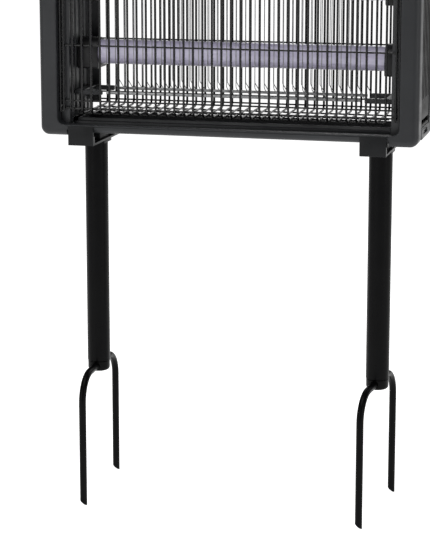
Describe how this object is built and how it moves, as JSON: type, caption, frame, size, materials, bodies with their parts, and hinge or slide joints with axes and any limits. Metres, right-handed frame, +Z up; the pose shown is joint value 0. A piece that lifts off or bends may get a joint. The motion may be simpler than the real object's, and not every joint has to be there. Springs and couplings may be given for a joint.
{
  "type": "electric bug zapper",
  "caption": "Plastic-framed electric insect killer with wire guards, horizontal UV tubes, high-voltage grids, a slide-out tray and clip-on legs ending in ground forks.",
  "frame": {"origin": "on the ground under the middle of the housing, at the level of the fork points", "axes": "+X to the object's right seen from the front, +Y towards its back, +Z up"},
  "size_m": [0.399, 0.1318, 0.678],
  "materials": {
    "frame_plastic": "satin charcoal black, fine moulded grain",
    "side_plastic": "satin dark warm grey, fine moulded grain",
    "inner_plastic": "satin black",
    "guard_wire": "gloss black dip coating",
    "leg_coating": "satin black powder coating",
    "grid_steel": "plain drawn steel wire",
    "lamp_glass": "smooth glass over lavender phosphor",
    "cap_aluminium": "drawn",
    "socket_plastic": "satin black",
    "plated_steel": "zinc plated",
    "circuit_board": "green solder mask",
    "white_plastic": "satin",
    "switch_red": "gloss"
  },
  "bodies": {
    "housing": {"bail_lug_left": "frame_plastic", "bail_lug_right": "frame_plastic", "ballast": "plated_steel", "boost_board": "circuit_board", "cable_gland": "frame_plastic", "chassis_plate": "plated_steel", "front_bezel": "frame_plastic", "front_guard": "guard_wire", "ground_fork_left": "leg_coating", "ground_fork_right": "leg_coating", "guard_floor": "guard_wire", "hv_grid_front": "grid_steel", "hv_grid_rear": "grid_steel", "insulator_lower_left": "inner_plastic", "insulator_lower_right": "inner_plastic", "insulator_upper_left": "inner_plastic", "insulator_upper_right": "inner_plastic", "left_inner_panel": "inner_plastic", "left_side_cover": "side_plastic", "leg_clip_left": "leg_coating", "leg_clip_right": "leg_coating", "leg_collar_left": "leg_coating", "leg_collar_right": "leg_coating", "leg_plug_left": "leg_coating", "leg_plug_right": "leg_coating", "leg_screw_left": "plated_steel", "leg_screw_right": "plated_steel", "leg_tube_left": "leg_coating", "leg_tube_right": "leg_coating", "rear_bezel": "frame_plastic", "rear_guard": "guard_wire", "rear_screw_lower_left": "plated_steel", "rear_screw_lower_right": "plated_steel", "rear_screw_upper_left": "plated_steel", "rear_screw_upper_right": "plated_steel", "right_inner_panel": "inner_plastic", "right_side_cover": "side_plastic", "socket_lower_left": "socket_plastic", "socket_lower_right": "socket_plastic", "socket_upper_left": "socket_plastic", "socket_upper_right": "socket_plastic", "starter_left": "cap_aluminium", "starter_right": "cap_aluminium", "switch_frame": "frame_plastic", "terminal_block": "white_plastic", "top_cover": "side_plastic", "tray_rail_front": "frame_plastic", "tray_rail_rear": "frame_plastic"},
    "tray": {"collection_tray": "frame_plastic", "tray_pull": "frame_plastic"},
    "bail": {"hanging_bail": "plated_steel"},
    "rocker": {"switch_rocker": "switch_red"},
    "lower_tube": {"lamp_lower": "lamp_glass", "lamp_lower_cap_left": "cap_aluminium", "lamp_lower_cap_right": "cap_aluminium"},
    "upper_tube": {"lamp_upper": "lamp_glass", "lamp_upper_cap_left": "cap_aluminium", "lamp_upper_cap_right": "cap_aluminium"}
  },
  "joints": [
    {"name": "tray_slide", "type": "slide", "parent": "housing", "child": "tray", "axis": [1, 0, 0], "range_m": [0, 0.33]},
    {"name": "bail_swing", "type": "hinge", "parent": "housing", "child": "bail", "pos_m": [0, 0, 0.6695], "axis": [1, 0, 0], "range_deg": [0, 180]},
    {"name": "switch_tilt", "type": "hinge", "parent": "housing", "child": "rocker", "pos_m": [0.12, 0, 0.663], "axis": [0, -1, 0], "range_deg": [0, 16]},
    {"name": "lower_tube_twist", "type": "hinge", "parent": "housing", "child": "lower_tube", "pos_m": [0, 0, 0.484], "axis": [1, 0, 0], "range_deg": [0, 90]},
    {"name": "upper_tube_twist", "type": "hinge", "parent": "housing", "child": "upper_tube", "pos_m": [0, 0, 0.556], "axis": [1, 0, 0], "range_deg": [0, 90]}
  ]
}
